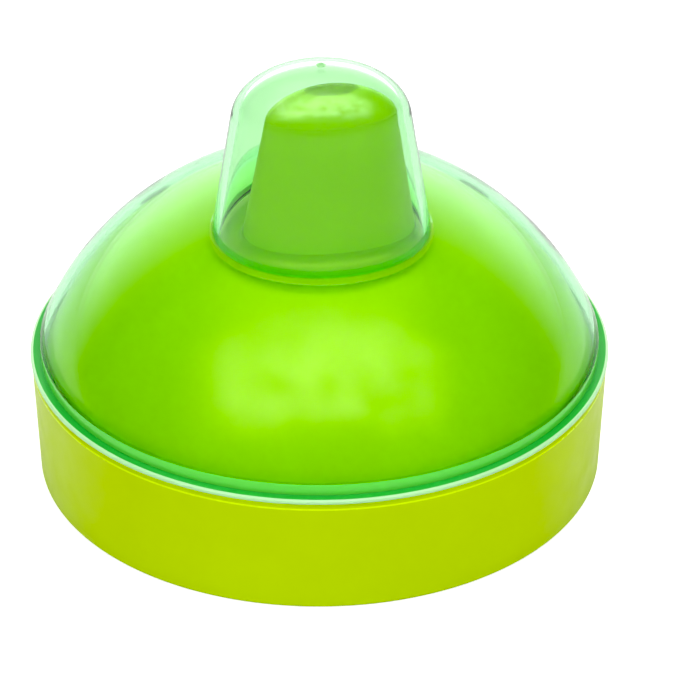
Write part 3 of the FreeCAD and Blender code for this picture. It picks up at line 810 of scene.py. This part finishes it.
def stepped(tree, value, low, high):
    """A smooth step from 0 at low to 1 at high, which may be the lower number."""
    node = tree.nodes.new("ShaderNodeMapRange")
    node.interpolation_type = "SMOOTHSTEP"
    reverse = low > high
    node.inputs["From Min"].default_value = min(low, high)
    node.inputs["From Max"].default_value = max(low, high)
    node.inputs["To Min"].default_value = 1.0 if reverse else 0.0
    node.inputs["To Max"].default_value = 0.0 if reverse else 1.0
    tree.links.new(value, node.inputs["Value"])
    return node.outputs["Result"]


def make_studio():
    """A studio room: white behind, a large cloudy window high in front, a lamp overhead, dim elsewhere."""
    world = bpy.data.worlds.new("studio")
    world.use_nodes = True
    bpy.context.scene.world = world
    tree = world.node_tree
    background = next(node for node in tree.nodes if node.type == "BACKGROUND")
    background.inputs["Color"].default_value = (1, 1, 1, 1)
    direction = tree.nodes.new("ShaderNodeTexCoord").outputs["Generated"]
    back, everywhere, lamp, pane = 1.9, 0.2, 1.2, 2.8  # strengths
    backwards = dotted(tree, direction, Vector((0, 1, 0)))
    light = maths(tree, "MULTIPLY", stepped(tree, backwards, 0.35, 0.9), back)
    light = maths(tree, "ADD", light, everywhere)
    overhead = soft_box(tree, direction, 90, 0, 32, 22, 0.6)
    light = maths(tree, "ADD", light, maths(tree, "MULTIPLY", overhead, lamp))
    clouds = tree.nodes.new("ShaderNodeTexNoise")
    clouds.inputs["Scale"].default_value = 5.0
    clouds.inputs["Detail"].default_value = 2.0
    tree.links.new(direction, clouds.inputs["Vector"])
    patchy = ranged(tree, clouds.outputs["Fac"], 0.5, 1.5, 0.34, 0.66)
    window = soft_box(tree, direction, 55, 0, 44, 21, 0.6)
    window = maths(tree, "MULTIPLY", window, patchy)
    light = maths(tree, "ADD", light, maths(tree, "MULTIPLY", window, pane))
    tree.links.new(light, background.inputs["Strength"])


def make_camera():
    """A long lens that looks down on the lid from the spout's side."""
    elevation = math.radians(32.6)
    distance = 1.05
    right, up = 0.004575, 0.01535  # what the camera looks at, from the origin, across its own view
    data = bpy.data.cameras.new("camera")
    data.lens = 360
    data.sensor_width = 36
    data.clip_start = 0.05
    data.clip_end = 20
    camera = bpy.data.objects.new("camera", data)
    bpy.context.scene.collection.objects.link(camera)
    camera.location = (0, -distance * math.cos(elevation), distance * math.sin(elevation))
    target = Vector((right, up * math.sin(elevation), up * math.cos(elevation)))
    camera.rotation_euler = (target - camera.location).to_track_quat("-Z", "Y").to_euler()
    bpy.context.scene.camera = camera


def set_look():
    """Plain display colours with the haze of the lens taken off the darks."""
    look = bpy.context.scene.view_settings
    look.view_transform = "Standard"
    look.use_curve_mapping = True
    look.curve_mapping.black_level = (0.04, 0.04, 0.04)
    look.curve_mapping.update()


def stand_in(piece, node, body):
    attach(piece, body)
    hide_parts(node)


collar = make_collar()
collar_satin = lime_plastic("lime_satin", COLLAR_LIME, 0.30, 0.40, gloss=0.3, tint=(1.0, 1.0, 0.3))
# Painted highlight: the rounds of the collar's top edge get a lime 1.35 times brighter, for the light that
# they catch.
painted_highlight_lime = tuple(1.35 * share for share in COLLAR_LIME)
collar_painted_highlight = lime_plastic("lime_painted_highlight", painted_highlight_lime, 0.24, 0.32, gloss=0.4, tint=(1.0, 1.0, 0.3))
paint_zones(collar, [collar_satin, collar_painted_highlight], collar_zones)
stand_in(collar, "screw_collar", "collar")

dome = make_dome()
glossy = lime_plastic("lime_gloss", LIME, 0.16, 0.26, gloss=0.85, tint=(1.0, 0.85, 0.2))
spout_lime = tuple(1.15 * share for share in LIME)
satin = lime_plastic("lime_spout", spout_lime, 0.46, 0.56, gloss=0.5, tint=(1.0, 1.0, 1.0), grain=6000)
polished = lime_plastic("lime_crown", spout_lime, 0.18, 0.26, gloss=0.8, tint=(1.0, 1.0, 0.5), grain=6000)
paint_zones(dome, [glossy, satin, polished], dome_zones)
stand_in(dome, "spout_dome", "dome")

cover = make_cover()
paint_zones(
    cover,
    [
        clear_green("clear_green", (0.9, 1.0, 0.9), clearness=1.0),
        clear_green("clear_green_hood", (0.86, 1.0, 0.82), clearness=0.98, index=1.42),
        # Painted reflection: the upright band is paler and less clear, for the bright floor that it
        # mirrors, over the clear green.
        clear_green("clear_green_band_painted_reflection", (0.22, 0.92, 0.15), clearness=0.4, index=1.4),
        # Painted shade: the ledge above the bead is deep green and nearly opaque, for the dark line seen
        # there.
        clear_green("clear_green_ledge_painted_shade", (0.06, 0.46, 0.08), clearness=0.25),
        # Painted reflection: the bead is pale mint and less clear, for the bright floor that it mirrors.
        # The gate gets the same pale paint as its mark.
        clear_green("clear_green_bead_painted_light", (0.62, 1.0, 0.56), clearness=0.35, index=1.5),
        # Painted light: the inner bend at the front of the hood's foot is paler and less clear, which lifts
        # the dark arcs that refraction leaves there.
        clear_green("clear_green_inner_bend_painted_light", (0.8, 1.0, 0.5), clearness=0.9),
        # Painted light: the outer bend at the front of the hood's foot is lime and less clear, for the lime
        # seen through it and its thin pale highlight.
        clear_green("clear_green_outer_bend_painted_light", (0.78, 1.0, 0.08), clearness=0.78),
        # Painted light: both bends at the back of the hood's foot are green and far less clear, for the
        # green arc of refracted light seen there.
        clear_green("clear_green_back_bend_painted_light", (0.55, 1.0, 0.35), clearness=0.35),
        # Painted shade: the breathing holes, closed discs here, are deep green and nearly opaque, partly
        # the tint seen edge-on and partly the shade in the holes.
        clear_green("clear_green_hole_painted_shade", (0.0, 0.3, 0.08), clearness=0.05),
    ],
    cover_zones,
)
stand_in(cover, "travel_cover", "cover")

WHITE = white_plastic()
RUBBER = silicone()
for node in ("valve_carrier", "valve_retainer"):
    paint_cad(node, WHITE)
for node in ("slit_valve", "carrier_seal", "vent_valve", "bottle_seal_ring"):
    paint_cad(node, RUBBER)

make_floor()
make_studio()
make_camera()
set_look()
